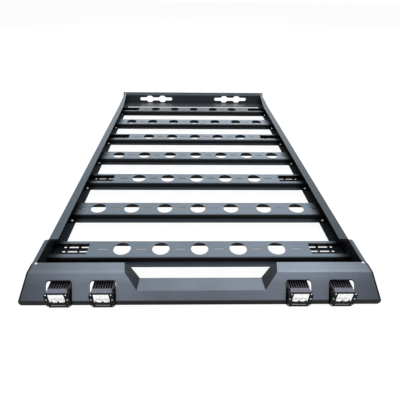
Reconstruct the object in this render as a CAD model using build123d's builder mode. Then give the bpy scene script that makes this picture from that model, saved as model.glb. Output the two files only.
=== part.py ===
from build123d import *
from math import atan2, cos, sin
import os

os.makedirs("parts", exist_ok=True)

# Driving dimensions in millimetres. X runs across the rack, Y from its nose to its tail, Z up.
# Heights are given from the deck, the top face of the crossbars, and lengths from the front edge of bar one.
# An inset is measured inwards from the outer face of a side rail.
SHEET = 3.0
BEND = 2.0
HALF_WIDTH = 584.0

# Crossbars, folded as a hat with outward lips
BAR_COUNT = 7
BAR_SPACING = 271.5
BAR_WIDTH = 94.0
BAR_HEIGHT = 29.0
BAR_LIP = 24.0
BAR_END_PLAY = 0.5
HOLE_PITCH = 152.0
HOLE_DIAMETER = 68.0
ODD_BAR_HOLE_COUNT = 5
EVEN_BAR_HOLE_COUNT = 7
THIN_SLOT_LENGTH = 38.0
THIN_SLOT_WIDTH = 5.0
WINDOW_LENGTH = 140.0
WINDOW_WIDTH = 60.0
WINDOW_INSET = 78.5

# Slotted mounting plates between the feet of the odd bars
PLATE_LENGTH = 150.0
PLATE_END_PLAY = 1.0
PLATE_SLOT_LENGTH = 38.0
PLATE_SLOT_WIDTH = 9.0
PLATE_COLUMN_PITCH = 47.0
PLATE_SLOT_MARGIN = 2.0

# Side rails, channels that open inwards
RAIL_ABOVE_DECK = 41.0
RAIL_FLANGE = 37.0
RAIL_RISE = 14.0
RAIL_RAMP_LENGTH = 290.0
RAIL_TAIL_FLANGE = 16.0
TAIL_BEHIND_LAST_BAR = 199.0

# Rear panel with its floor strip and rearward top flange
PANEL_OVERHANG = 12.0
PANEL_STRIP_DEPTH = 105.0
PANEL_STRIP_PLAY = 0.5
PANEL_FACE_TOP = 37.0
PANEL_CAP_DEPTH = 22.5
CUTOUT_INSET = 266.0
CUTOUT_LENGTH = 273.0
CUTOUT_SLOT = 26.0
CUTOUT_HEIGHT = 5.0
LOBE_WIDTH = 63.0
LOBE_HEIGHT = 54.0
LOBE_CORNER = 16.5
LOBE_SPACING = 107.0

# Front side plates and the folded fairing, with lengths measured forwards from bar one
SIDE_PLATE_START = 57.0
SIDE_PLATE_FLANGE = 14.0
SIDE_PLATE_CORNER = 9.0
FAIRING_EDGE = 69.0
FAIRING_BEND = 117.0
NOSE_REACH = 174.0
NOSE_DROP = 38.5
NOSE_LIP = 23.0
LIP_CORNER = 10.0
RETURN_FLANGE = 52.0
END_FLANGE = 16.0
FAIRING_CORNER = 8.0
FAIRING_BEND_RADIUS = 8.0
FAIRING_FLARE = 27.5
RAIL_NOSE_REACH = 52.0
CHEEK_PLAY = 0.3

# Sunken shelf in the middle of the fairing
SHELF_DROP = 9.5
SHELF_DEPTH = 58.0
SHELF_INSET = 366.0
RECESS_EDGE_INSET = 312.0
RECESS_BEND_INSET = 321.0
RECESS_FACE_INSET = 362.0
FACET_TIP_INSET = 333.0
FACET_TIP_HEIGHT = 18.5
FACET_THICKNESS = 4.5

# Lamps on U brackets, seen through rounded cut-outs in the fairing
OUTER_LAMP_INSET = 97.0
INNER_LAMP_INSET = 247.0
LAMP_FRONT = 182.0
LAMP_ABOVE_DECK = 6.5
BEZEL_WIDTH = 84.0
BEZEL_HEIGHT = 67.0
BEZEL_DEPTH = 6.0
BEZEL_CORNER = 8.0
LENS_WIDTH = 48.0
LENS_HEIGHT = 41.0
LENS_BELOW_TOP = 6.0
LENS_THICKNESS = 3.0
LENS_RECESS = 1.5
POCKET_DEPTH = 16.0
HOUSING_WIDTH = 70.0
HOUSING_DEPTH = 62.0
HOUSING_BELOW_TOP = 1.0
HOUSING_ABOVE_BOTTOM = 6.5
COLLAR_DEPTH = 20.0
COLLAR_WIDTH = 78.0
COLLAR_CORNER = 4.0
FIN_COUNT = 9
FIN_THICKNESS = 3.0
FIN_HEIGHT = 10.0
FIN_SHORTFALL = 1.0
PIVOT_BEHIND_FRONT = 44.0
BRACKET_SHEET = 2.5
BRACKET_WIDTH = 16.0
LAMP_OPENING_WIDTH = 90.0
LAMP_OPENING_BACK = 132.0
LAMP_OPENING_CORNER = 9.0
LIP_STRIP = 5.0

# Values worked out from the driving dimensions
deck = NOSE_DROP + NOSE_LIP
last_bar_rear = (BAR_COUNT - 1) * BAR_SPACING + BAR_WIDTH
panel_reach = last_bar_rear + TAIL_BEHIND_LAST_BAR
cap_rise = RAIL_ABOVE_DECK + RAIL_RISE - PANEL_FACE_TOP
cap_lean = atan2(cap_rise, PANEL_CAP_DEPTH)
tail_reach = panel_reach + PANEL_CAP_DEPTH + SHEET * sin(cap_lean)
bar_one = (LAMP_FRONT - tail_reach) / 2
foot = deck - BAR_HEIGHT
rail_bottom = foot - SHEET
rail_top = deck + RAIL_ABOVE_DECK
tail_top = rail_top + RAIL_RISE
bar_half_length = HALF_WIDTH - SHEET - BAR_END_PLAY
inner_radius = BEND
outer_radius = BEND + SHEET
face_slope = (RAIL_ABOVE_DECK + NOSE_DROP) / (NOSE_REACH - FAIRING_BEND)
face_lean = atan2(face_slope, 1)
window_middle = HALF_WIDTH - WINDOW_INSET
plate_row_pitch = (BAR_WIDTH - 2 * SHEET - PLATE_SLOT_WIDTH - 2 * PLATE_SLOT_MARGIN) / 3
fairing_top_half = HALF_WIDTH + SIDE_PLATE_FLANGE
fairing_nose_half = fairing_top_half + FAIRING_FLARE
lamp_middles = [-HALF_WIDTH + OUTER_LAMP_INSET, -HALF_WIDTH + INNER_LAMP_INSET]
lamp_middles += [HALF_WIDTH - INNER_LAMP_INSET, HALF_WIDTH - OUTER_LAMP_INSET]


def face_height(reach):
    """Height of the fairing's sloping face at a distance in front of bar one."""
    return rail_top - (reach - FAIRING_BEND) * face_slope


def write(builder, name):
    """Labels a finished piece and writes its file."""
    builder.part.label = name
    export_step(builder.part, f"parts/{name}.step")


def bar_middle(index):
    """Place along Y of the centre line of a crossbar, counted from 0 at the nose."""
    return bar_one + index * BAR_SPACING + BAR_WIDTH / 2


# Crossbars: one hat profile, pierced with round holes, thin slots and, on the odd bars, a window at each end
def crossbar(index):
    y = bar_middle(index)
    half = BAR_WIDTH / 2
    lip_top = foot + SHEET
    odd = index % 2 == 0
    hole_count = ODD_BAR_HOLE_COUNT if odd else EVEN_BAR_HOLE_COUNT
    with BuildPart() as bar:
        with BuildSketch(Plane.YZ):
            with BuildLine():
                FilletPolyline(
                    (y - half - BAR_LIP, lip_top),
                    (y - half, lip_top),
                    (y - half, deck),
                    (y + half, deck),
                    (y + half, lip_top),
                    (y + half + BAR_LIP, lip_top),
                    radius=[inner_radius, outer_radius, outer_radius, inner_radius],
                )
                offset(amount=SHEET, side=Side.RIGHT)
            make_face()
        extrude(amount=bar_half_length, both=True)
        with BuildSketch(Plane.XY.offset(deck)):
            with Locations((0, y)):
                with GridLocations(HOLE_PITCH, 0, hole_count, 1):
                    Circle(HOLE_DIAMETER / 2)
                with GridLocations(HOLE_PITCH, 0, hole_count + 1, 1):
                    Rectangle(THIN_SLOT_LENGTH, THIN_SLOT_WIDTH)
                if odd:
                    with GridLocations(2 * window_middle, 0, 2, 1):
                        Rectangle(WINDOW_LENGTH, WINDOW_WIDTH)
        extrude(amount=-SHEET, mode=Mode.SUBTRACT)
    return bar


# Mounting plates: flat strips between the webs of the odd bars, standing on the rail's lower flange
def mounting_plate(index, side):
    outer_end = HALF_WIDTH - SHEET - PLATE_END_PLAY
    with BuildPart() as plate:
        with BuildSketch(Plane.XY.offset(foot)):
            with Locations((side * (outer_end - PLATE_LENGTH / 2), bar_middle(index))):
                Rectangle(PLATE_LENGTH, BAR_WIDTH - 2 * SHEET)
            with Locations((side * window_middle, bar_middle(index))):
                # The four corner slots take the bolts of a roof foot, the others lighten the plate
                with GridLocations(2 * PLATE_COLUMN_PITCH, 3 * plate_row_pitch, 2, 2):
                    SlotOverall(PLATE_SLOT_LENGTH, PLATE_SLOT_WIDTH, mode=Mode.SUBTRACT)
                with GridLocations(2 * PLATE_COLUMN_PITCH, plate_row_pitch, 2, 2):
                    Rectangle(PLATE_SLOT_LENGTH, PLATE_SLOT_WIDTH, mode=Mode.SUBTRACT)
                with GridLocations(0, plate_row_pitch, 1, 4):
                    Rectangle(PLATE_SLOT_LENGTH, PLATE_SLOT_WIDTH, mode=Mode.SUBTRACT)
        extrude(amount=SHEET)
    return plate


# Side rails: a channel whose top flange climbs and narrows towards the tail, and ends short of the nose
def side_rail(side):
    front = bar_one - RAIL_NOSE_REACH
    rear = bar_one + panel_reach
    ramp = rear - RAIL_RAMP_LENGTH
    notch = bar_one + SIDE_PLATE_START
    flange_tip = Plane.YZ.offset(side * (HALF_WIDTH - RAIL_FLANGE))
    with BuildPart() as rail:
        with BuildSketch(flange_tip):
            with BuildLine():
                Polyline(
                    (front, rail_bottom),
                    (rear, rail_bottom),
                    (rear, tail_top),
                    (ramp, rail_top),
                    (front, rail_top),
                    close=True,
                )
            make_face()
        extrude(amount=side * RAIL_FLANGE)
        outside = rail.edges().filter_by_position(Axis.X, side * HALF_WIDTH, side * HALF_WIDTH)
        fillet(outside.filter_by(Axis.Z, reverse=True), outer_radius)
        with BuildSketch(flange_tip):
            with BuildLine():
                Polyline(
                    (front, rail_bottom + SHEET),
                    (rear, rail_bottom + SHEET),
                    (rear, tail_top - SHEET),
                    (ramp, rail_top - SHEET),
                    (front, rail_top - SHEET),
                    close=True,
                )
            make_face()
        extrude(amount=side * (RAIL_FLANGE - SHEET), mode=Mode.SUBTRACT)
        # The top flange ends where the side plate's flange takes over
        with BuildSketch(flange_tip):
            with Locations((front, rail_top)):
                Rectangle(2 * (notch - front), 4 * SHEET)
        extrude(amount=side * (RAIL_FLANGE - SHEET), mode=Mode.SUBTRACT)
        # The flange narrows along the ramp
        with BuildSketch(Plane.XY.offset(rail_top - 2 * SHEET)):
            with BuildLine():
                Polyline(
                    (side * (HALF_WIDTH - RAIL_FLANGE), ramp),
                    (side * (HALF_WIDTH - RAIL_FLANGE), rear),
                    (side * (HALF_WIDTH - RAIL_TAIL_FLANGE), rear),
                    close=True,
                )
            make_face()
        extrude(amount=RAIL_RISE + 4 * SHEET, mode=Mode.SUBTRACT)
    return rail


# Rear panel: a folded strip, face and cap in one sheet, with a decorative cut-out on each side
def rear_panel():
    y = bar_one + panel_reach
    strip_half = HALF_WIDTH - SHEET - PANEL_STRIP_PLAY
    panel_half = HALF_WIDTH + PANEL_OVERHANG
    with BuildPart() as panel:
        with BuildSketch(Plane.YZ):
            with BuildLine():
                FilletPolyline(
                    (y - PANEL_STRIP_DEPTH, foot + SHEET),
                    (y, foot + SHEET),
                    (y, deck + PANEL_FACE_TOP),
                    (y + PANEL_CAP_DEPTH, deck + PANEL_FACE_TOP + cap_rise),
                    radius=[inner_radius, outer_radius],
                )
                offset(amount=SHEET, side=Side.RIGHT)
            make_face()
        extrude(amount=panel_half, both=True)
        # The strip runs between the rails, and the face covers their ends
        with BuildSketch(Plane.XY.offset(foot)):
            with Locations((0, y - PANEL_STRIP_DEPTH / 2)):
                with GridLocations(panel_half + strip_half, 0, 2, 1):
                    Rectangle(panel_half - strip_half, PANEL_STRIP_DEPTH)
        extrude(amount=BAR_HEIGHT, mode=Mode.SUBTRACT)
        with BuildSketch(Plane.XZ.offset(-y)):
            with Locations((0, deck + CUTOUT_HEIGHT)):
                with GridLocations(2 * (HALF_WIDTH - CUTOUT_INSET), 0, 2, 1):
                    SlotOverall(CUTOUT_LENGTH, CUTOUT_SLOT)
                    with GridLocations(LOBE_SPACING, 0, 2, 1):
                        with BuildSketch(mode=Mode.PRIVATE) as lobe:
                            Rectangle(LOBE_WIDTH, LOBE_HEIGHT)
                            chamfer(lobe.vertices(), LOBE_CORNER)
                        add(lobe.sketch)
        extrude(amount=-SHEET, mode=Mode.SUBTRACT)
    return panel


# Front side plates: an angle outside each rail with its flange outwards, whose web runs on under the fairing
def side_plate(side):
    start = bar_one + SIDE_PLATE_START
    fairing_edge = bar_one - FAIRING_EDGE + CHEEK_PLAY
    flange_front = bar_one - FAIRING_BEND + 4 * SHEET
    flange_top = rail_top - SHEET
    outside = side * fairing_top_half
    under_end = side * (fairing_top_half - SHEET - CHEEK_PLAY)
    under_face = SHEET / cos(face_lean) + CHEEK_PLAY
    cheek_end = NOSE_REACH - SHEET - CHEEK_PLAY
    return_back = NOSE_REACH - RETURN_FLANGE
    with BuildPart() as plate:
        with BuildSketch(Plane.YZ.offset(side * HALF_WIDTH)):
            with BuildLine():
                Polyline(
                    (start, rail_bottom + SIDE_PLATE_CORNER),
                    (start, flange_top),
                    (bar_one - FAIRING_BEND + FAIRING_BEND_RADIUS, flange_top),
                    (bar_one - FAIRING_BEND, face_height(FAIRING_BEND) - under_face),
                    (bar_one - cheek_end, face_height(cheek_end) - under_face),
                    (bar_one - cheek_end, SHEET + outer_radius),
                    (bar_one - cheek_end + outer_radius, SHEET),
                    (bar_one - return_back, SHEET),
                    (bar_one - FAIRING_EDGE, rail_bottom),
                    (start - SIDE_PLATE_CORNER, rail_bottom),
                    close=True,
                )
            make_face()
        extrude(amount=side * SHEET)
        # The flange is as wide as the fairing, and narrower where it runs on under the fairing's end
        with BuildSketch(Plane.XY.offset(flange_top - SHEET)) as flange:
            with BuildLine():
                Polyline(
                    (side * HALF_WIDTH, start),
                    (outside, start),
                    (outside, fairing_edge),
                    (under_end, fairing_edge),
                    (under_end, flange_front),
                    (side * HALF_WIDTH, flange_front),
                    close=True,
                )
            make_face()
            rear_corners = flange.vertices().group_by(Axis.Y)[-1]
            fillet(rear_corners.sort_by(Axis.X, reverse=side > 0)[0], SIDE_PLATE_CORNER)
        extrude(amount=SHEET)
    return plate


def end_outline(inset):
    """Corners of the fairing seen from the front, flared towards the nose, drawn in by a distance."""
    top = fairing_top_half - inset
    nose = fairing_nose_half - inset
    right = [(top, rail_top), (nose, NOSE_LIP), (nose, LIP_CORNER), (nose - LIP_CORNER, 0)]
    left = [(-x, z) for x, z in reversed(right)]
    return right + left


# Front fairing: one folded sheet with flared ends, a sunken shelf between slanted facets, and lamp openings
def fairing():
    edge = bar_one - FAIRING_EDGE
    bend = bar_one - FAIRING_BEND
    nose = bar_one - NOSE_REACH
    shelf_reach = FAIRING_BEND + (RAIL_ABOVE_DECK + SHELF_DROP) / face_slope
    shelf_front = bar_one - shelf_reach
    shelf_back = shelf_front + SHELF_DEPTH
    shelf_top = deck - SHELF_DROP
    shelf_half = HALF_WIDTH - SHELF_INSET
    edge_half = HALF_WIDTH - RECESS_EDGE_INSET
    bend_half = HALF_WIDTH - RECESS_BEND_INSET
    face_half = HALF_WIDTH - RECESS_FACE_INSET
    tip_half = HALF_WIDTH - FACET_TIP_INSET
    fold = [(edge, rail_top), (bend, rail_top), (nose, NOSE_LIP), (nose, 0), (nose + RETURN_FLANGE, 0)]
    fold_radii = [FAIRING_BEND_RADIUS, outer_radius, outer_radius]
    with BuildPart() as sheet:
        with BuildSketch(Plane.YZ):
            with BuildLine():
                FilletPolyline(*fold, radius=fold_radii)
                offset(amount=SHEET, side=Side.LEFT)
            make_face()
        extrude(amount=fairing_nose_half, both=True)
        # The ends are folded down, with a narrow flange that follows the profile
        with BuildPart(mode=Mode.PRIVATE) as ends:
            with BuildSketch(Plane.YZ):
                with BuildLine():
                    FilletPolyline(*fold, radius=fold_radii)
                    offset(amount=END_FLANGE, side=Side.LEFT)
                make_face()
            extrude(amount=fairing_nose_half, both=True)
            with BuildSketch(Plane.XZ.offset(-edge)):
                with BuildLine():
                    Polyline(*end_outline(SHEET), close=True)
                make_face()
            extrude(amount=edge - nose, mode=Mode.SUBTRACT)
        add(ends.part)
        # Seen from the front the ends flare outwards towards the nose
        with BuildSketch(Plane.XZ.offset(-edge)):
            with BuildLine():
                Polyline(*end_outline(0), close=True)
            make_face()
        extrude(amount=edge - nose, mode=Mode.INTERSECT)
        # The rear corners are rounded
        with BuildSketch(Plane.XY.offset(rail_top - END_FLANGE)):
            with GridLocations(2 * fairing_top_half, 0, 2, 1):
                with Locations((0, edge)):
                    Rectangle(2 * FAIRING_CORNER, 2 * FAIRING_CORNER)
            with GridLocations(2 * (fairing_top_half - FAIRING_CORNER), 0, 2, 1):
                with Locations((0, edge - FAIRING_CORNER)):
                    Circle(FAIRING_CORNER, mode=Mode.SUBTRACT)
        extrude(amount=2 * END_FLANGE, mode=Mode.SUBTRACT)
        # The recess is open behind the shelf
        with BuildSketch(Plane.XY.offset(shelf_top - FACET_THICKNESS)):
            with BuildLine():
                Polyline(
                    (-edge_half, edge),
                    (edge_half, edge),
                    (bend_half, bend),
                    (face_half, shelf_front),
                    (-face_half, shelf_front),
                    (-bend_half, bend),
                    close=True,
                )
            make_face()
        extrude(amount=rail_top - shelf_top + 2 * FACET_THICKNESS, mode=Mode.SUBTRACT)
        with BuildSketch(Plane.XY.offset(shelf_top)):
            with BuildLine():
                Polyline(
                    (-face_half, shelf_front),
                    (face_half, shelf_front),
                    (shelf_half, shelf_back),
                    (-shelf_half, shelf_back),
                    close=True,
                )
            make_face()
        extrude(amount=-FACET_THICKNESS)
        # Each facet is three triangles between the wing's edge and the shelf's side
        for side in (-1, 1):
            top_rear = (side * edge_half, edge, rail_top)
            top_bend = (side * bend_half, bend, rail_top)
            low_front = (side * face_half, shelf_front, shelf_top)
            low_rear = (side * shelf_half, shelf_back, shelf_top)
            tip = (side * tip_half, edge, deck + FACET_TIP_HEIGHT)
            triangles = [(top_rear, top_bend, tip), (top_bend, low_front, low_rear), (top_bend, low_rear, tip)]
            for corners in triangles:
                extrude(Face(Wire.make_polygon(corners, close=True)), amount=FACET_THICKNESS, dir=(0, 0, -1))
        # Rounded openings for the lamps, through the sloping face and down the lip to a narrow strip
        with BuildSketch(Plane.XY.offset(LIP_STRIP)):
            for x in lamp_middles:
                with Locations((x, bar_one - LAMP_OPENING_BACK - LAMP_OPENING_WIDTH / 2)):
                    RectangleRounded(LAMP_OPENING_WIDTH, LAMP_OPENING_WIDTH, LAMP_OPENING_CORNER)
        extrude(amount=rail_top, mode=Mode.SUBTRACT)
    return sheet


# Lamps: a finned housing with an open pocket, a bezel, a lens and a U bracket on the fairing's return flange
lamp_front = bar_one - LAMP_FRONT
lamp_top = deck + LAMP_ABOVE_DECK
bezel_middle = lamp_top - BEZEL_HEIGHT / 2
lens_middle = lamp_top - LENS_BELOW_TOP - LENS_HEIGHT / 2
housing_top = lamp_top - HOUSING_BELOW_TOP
housing_height = BEZEL_HEIGHT - HOUSING_BELOW_TOP - HOUSING_ABOVE_BOTTOM
housing_middle = housing_top - housing_height / 2
pivot_y = lamp_front + PIVOT_BEHIND_FRONT
bracket_base = SHEET


def lamp_plane(x, behind, height):
    """Upright plane across the lamp, a distance behind its front and at a height, that looks forwards."""
    return Plane(origin=(x, lamp_front + behind, height), x_dir=(1, 0, 0), z_dir=(0, -1, 0))


def lamp_housing(x):
    block_depth = HOUSING_DEPTH - COLLAR_DEPTH
    fin_pitch = (HOUSING_WIDTH - FIN_THICKNESS) / (FIN_COUNT - 1)
    with BuildPart() as housing:
        # The collar widens from the fins to the bezel
        for width, behind in ((COLLAR_WIDTH, BEZEL_DEPTH), (HOUSING_WIDTH, BEZEL_DEPTH + COLLAR_DEPTH)):
            with BuildSketch(lamp_plane(x, behind, housing_middle)) as end:
                Rectangle(width, housing_height)
                chamfer(end.vertices(), COLLAR_CORNER)
        loft()
        with BuildSketch(lamp_plane(x, BEZEL_DEPTH + COLLAR_DEPTH, housing_middle)):
            Rectangle(HOUSING_WIDTH, housing_height - 2 * FIN_HEIGHT)
            with GridLocations(fin_pitch, 0, FIN_COUNT, 1):
                Rectangle(FIN_THICKNESS, housing_height - 2 * FIN_SHORTFALL)
        extrude(amount=-block_depth)
        with BuildSketch(lamp_plane(x, BEZEL_DEPTH, lens_middle)):
            Rectangle(LENS_WIDTH, LENS_HEIGHT)
        extrude(amount=-POCKET_DEPTH, mode=Mode.SUBTRACT)
    return housing


def lamp_bezel(x):
    with BuildPart() as bezel:
        with BuildSketch(lamp_plane(x, 0, bezel_middle)) as outline:
            Rectangle(BEZEL_WIDTH, BEZEL_HEIGHT)
            chamfer(outline.vertices(), BEZEL_CORNER)
            with Locations((0, lens_middle - bezel_middle)):
                Rectangle(LENS_WIDTH, LENS_HEIGHT, mode=Mode.SUBTRACT)
        extrude(amount=-BEZEL_DEPTH)
    return bezel


def lamp_lens(x):
    with BuildPart() as lens:
        with BuildSketch(lamp_plane(x, LENS_RECESS, lens_middle)):
            Rectangle(LENS_WIDTH, LENS_HEIGHT)
        extrude(amount=-LENS_THICKNESS)
    return lens


def lamp_bracket(x):
    half = HOUSING_WIDTH / 2
    with BuildPart() as bracket:
        with BuildSketch(Plane.XZ.offset(-pivot_y - BRACKET_WIDTH / 2)):
            with BuildLine():
                FilletPolyline(
                    (x - half, housing_middle),
                    (x - half, bracket_base + BRACKET_SHEET),
                    (x + half, bracket_base + BRACKET_SHEET),
                    (x + half, housing_middle),
                    radius=BEND,
                )
                offset(amount=BRACKET_SHEET, side=Side.RIGHT)
            make_face()
        extrude(amount=BRACKET_WIDTH)
        with BuildSketch(Plane.YZ.offset(x)):
            with Locations((pivot_y, housing_middle)):
                Circle(BRACKET_WIDTH / 2)
        extrude(amount=half + BRACKET_SHEET, both=True)
        with BuildSketch(Plane.YZ.offset(x)):
            with Locations((pivot_y, housing_middle)):
                Circle(BRACKET_WIDTH / 2)
        extrude(amount=half, both=True, mode=Mode.SUBTRACT)
    return bracket


for index in range(BAR_COUNT):
    write(crossbar(index), f"crossbar_{index + 1}")

for name, side in (("left", -1), ("right", 1)):
    write(side_rail(side), f"side_rail_{name}")
    write(side_plate(side), f"front_side_plate_{name}")
    for index in range(0, BAR_COUNT, 2):
        write(mounting_plate(index, side), f"mounting_plate_{index + 1}_{name}")

write(fairing(), "front_fairing")
write(rear_panel(), "rear_panel")

for number, x in enumerate(lamp_middles, start=1):
    write(lamp_housing(x), f"lamp_{number}_housing")
    write(lamp_bezel(x), f"lamp_{number}_bezel")
    write(lamp_lens(x), f"lamp_{number}_lens")
    write(lamp_bracket(x), f"lamp_{number}_bracket")
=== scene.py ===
# %% [markdown]
# # A roof cargo cage in black powder coat
#
# The rack is a flat platform for a car's roof: two folded side rails, seven pierced crossbars, a raised
# panel at the tail and a folded wind fairing with four square lamps at the nose. The sheet metal comes
# finished from the CAD model, so this script only adds what a CAD model leaves out: the finish of each
# surface, the screws and bolts, and the reflectors, light chips, flanges and ridges of the lamps.
#
# The script loads the CAD parts as a fixed frame. Nothing in that frame is moved, and the new pieces are
# placed from its measured boxes, so that they sit on what carries them.

import math

import bmesh
import bpy
from mathutils import Matrix, Vector


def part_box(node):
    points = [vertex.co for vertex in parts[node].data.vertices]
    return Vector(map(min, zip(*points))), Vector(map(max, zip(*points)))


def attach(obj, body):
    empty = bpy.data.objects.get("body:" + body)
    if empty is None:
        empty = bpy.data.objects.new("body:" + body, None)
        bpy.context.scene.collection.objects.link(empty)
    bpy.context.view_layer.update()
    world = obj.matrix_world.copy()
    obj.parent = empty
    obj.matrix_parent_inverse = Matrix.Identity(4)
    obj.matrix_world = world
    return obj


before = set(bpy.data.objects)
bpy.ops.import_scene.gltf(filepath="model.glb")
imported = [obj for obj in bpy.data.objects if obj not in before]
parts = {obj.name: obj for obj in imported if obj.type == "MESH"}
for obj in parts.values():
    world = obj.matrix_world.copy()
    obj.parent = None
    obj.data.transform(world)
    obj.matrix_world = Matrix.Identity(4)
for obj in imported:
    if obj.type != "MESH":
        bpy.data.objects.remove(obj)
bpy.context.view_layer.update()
scene = bpy.context.scene
MM = 0.001
print("CAD parts:", len(parts))

# %% [markdown]
# ## The camera
#
# The picture was taken from in front of the rack and well above it, with a fairly wide lens, so the rails
# run together towards the tail. A camera looks along its own -Z axis. Turning it up from the floor by 90
# degrees less the pitch, then about Z by the yaw, aims it, and a last turn about its own axis gives the
# slight roll. The small shift moves the frame sideways without turning the camera, which keeps the
# perspective lines where they are.

# %% Set up the camera
CAMERA_PLACE = Vector((-0.046985, -1.794850, 0.947250))
CAMERA_PITCH = math.radians(34.30)
CAMERA_YAW = math.radians(1.20)
CAMERA_ROLL = math.radians(0.73)
SENSOR = 36.0
FOCAL_LENGTH = 29.61
SIDE_SHIFT = 0.0165

camera_data = bpy.data.cameras.new("camera")
camera_data.sensor_width = SENSOR
camera_data.lens = FOCAL_LENGTH
camera_data.shift_x = SIDE_SHIFT
camera = bpy.data.objects.new("camera", camera_data)
aim = Matrix.Rotation(-CAMERA_YAW, 4, "Z")
tilt = Matrix.Rotation(math.radians(90) - CAMERA_PITCH, 4, "X")
roll = Matrix.Rotation(CAMERA_ROLL, 4, "Z")
camera.matrix_world = Matrix.Translation(CAMERA_PLACE) @ aim @ tilt @ roll
scene.collection.objects.link(camera)
scene.camera = camera
scene.view_settings.view_transform = "Standard"
print("camera at", tuple(CAMERA_PLACE))

# %% [markdown]
# ## Places to measure from
#
# Every bolt, every lamp piece and every dark corner of a coat has its place on the rack. Most of these
# places are worked out from the boxes of the CAD parts, so they follow if the CAD model changes. A few
# heights and lengths are plain numbers. The right rail's outer face and the first bar's front edge are the
# two starting points, as they are for someone with a tape measure.

# %% Measure the frame
SHEET = 3 * MM
BAR_COUNT = 7
BAR_LIP = 24 * MM
SIDES = (-1, 1)
LAMPS = (1, 2, 3, 4)

half_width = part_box("side_rail_right")[1].x
fairing_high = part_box("front_fairing")[1]
panel_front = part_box("rear_panel")[0].y
faces = [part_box(f"lamp_{number}_bezel") for number in LAMPS]
windows = [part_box(f"lamp_{number}_lens") for number in LAMPS]
bars = [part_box(f"crossbar_{number}") for number in range(1, BAR_COUNT + 1)]

first_low, first_high = bars[0]
bar_one = first_low.y + BAR_LIP
half_bar = (first_high.y - first_low.y) / 2 - BAR_LIP
bar_pitch = bars[1][0].y - first_low.y
last_bar = bar_one + (BAR_COUNT - 1) * bar_pitch
lip_top = first_low.z + SHEET
print("half width", round(half_width, 4), "first bar", round(bar_one, 4), "pitch", round(bar_pitch, 4))

# %% [markdown]
# ## Helpers for nodes
#
# Materials and geometry trees are both made of nodes. One small function adds a node, sets its options,
# and feeds each input either with a number or with the output of another node. The trees below then read
# from top to bottom, in the order in which the values flow. The other functions do sums with values and
# split a vector into its parts.

# %% Define the node helpers


def add_node(tree, kind, inputs=None, **options):
    """Adds a node. Each input is fed with a value or with another node's output socket."""
    node = tree.nodes.new(kind)
    for name, value in options.items():
        setattr(node, name, value)
    for key, value in (inputs or {}).items():
        if isinstance(value, bpy.types.NodeSocket):
            tree.links.new(value, node.inputs[key])
        else:
            node.inputs[key].default_value = value
    return node


def math_node(tree, operation, first, second=0.0):
    """The result of one sum."""
    return add_node(tree, "ShaderNodeMath", {0: first, 1: second}, operation=operation).outputs["Value"]


def minus(tree, first, second):
    """The difference of two values."""
    return math_node(tree, "SUBTRACT", first, second)


def times(tree, first, second):
    """The product of two values."""
    return math_node(tree, "MULTIPLY", first, second)


def split(tree, vector):
    """The X, Y and Z parts of a vector."""
    return add_node(tree, "ShaderNodeSeparateXYZ", {"Vector": vector}).outputs


print("node helpers ready")

# %% [markdown]
# ## Helpers for materials
#
# A finish is built up from a few simple steps: read where a point lies and which way its surface looks,
# turn that or a noise pattern into a grey value, and multiply the colour by it. Each step is a function of
# its own. The first ones begin a material, read its surface and lay a noise pattern on it.

# %% Define how a surface is read


def new_material(name):
    """A material with an empty tree, its main shader and its output."""
    material = bpy.data.materials.new(name)
    material.use_nodes = True
    tree = material.node_tree
    tree.nodes.clear()
    shader = add_node(tree, "ShaderNodeBsdfPrincipled")
    add_node(tree, "ShaderNodeOutputMaterial", {"Surface": shader.outputs["BSDF"]})
    return material, tree, shader


def read_spot(tree):
    """The point on the object, for a finish that is alike on all sides."""
    return add_node(tree, "ShaderNodeTexCoord").outputs["Object"]


def read_surface(tree):
    """The point on the object, the parts of its place, and the parts of the way its surface looks."""
    coordinates = add_node(tree, "ShaderNodeTexCoord").outputs
    spot = coordinates["Object"]
    return spot, split(tree, spot), split(tree, coordinates["Normal"])


def noise(tree, spot, scale, detail=2.0, roughness=0.5):
    """The grey value of a noise pattern, with a scale in cells per metre."""
    values = {"Vector": spot, "Scale": scale, "Detail": detail, "Roughness": roughness}
    return add_node(tree, "ShaderNodeTexNoise", values).outputs["Fac"]


print("surface helpers ready")

# %% [markdown]
# ### From patterns to colours
#
# The other steps turn a place or a pattern into shares, and shares into colours and bumps. Most values of a
# noise pattern lie well inside 0 and 1, so the steps that use one stretch its middle part.

# %% Define how a colour is shaded
MOST_OF_NOISE = (0.3, 0.7)
ALL = (0.0, 1.0)


def fade(tree, value, places, shares):
    """Goes from one share to another while a value goes from one place to another."""
    values = {
        "Value": value,
        "From Min": places[0],
        "From Max": places[1],
        "To Min": shares[0],
        "To Max": shares[1],
    }
    return add_node(tree, "ShaderNodeMapRange", values).outputs["Result"]


def ramp(tree, value, stops):
    """A colour ramp with a list of (place, colour) stops."""
    node = add_node(tree, "ShaderNodeValToRGB", {"Fac": value})
    elements = node.color_ramp.elements
    while len(elements) < len(stops):
        elements.new(0.5)
    for element, (place, colour) in zip(elements, stops):
        element.position = place
        element.color = (*colour, 1.0)
    return node.outputs["Color"]


def shade(tree, colour, *shares):
    """Multiplies a colour by grey values or by other colours, one after another."""
    for share in shares:
        values = {0: 1.0, 6: colour, 7: share}
        node = add_node(tree, "ShaderNodeMix", values, data_type="RGBA", blend_type="MULTIPLY")
        colour = node.outputs[2]
    return colour


def bump(tree, height, strength, distance):
    """A normal bent by a height pattern."""
    values = {"Strength": strength, "Distance": distance, "Height": height}
    return add_node(tree, "ShaderNodeBump", values).outputs["Normal"]


def feed(tree, shader, **sources):
    """Links patterns to the main shader's inputs, which are written with _ for a space."""
    for name, source in sources.items():
        tree.links.new(source, shader.inputs[name.replace("_", " ")])


def scaled(colour, share):
    """A colour times a share."""
    return tuple(share * part for part in colour)


print("colour helpers ready")

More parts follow.
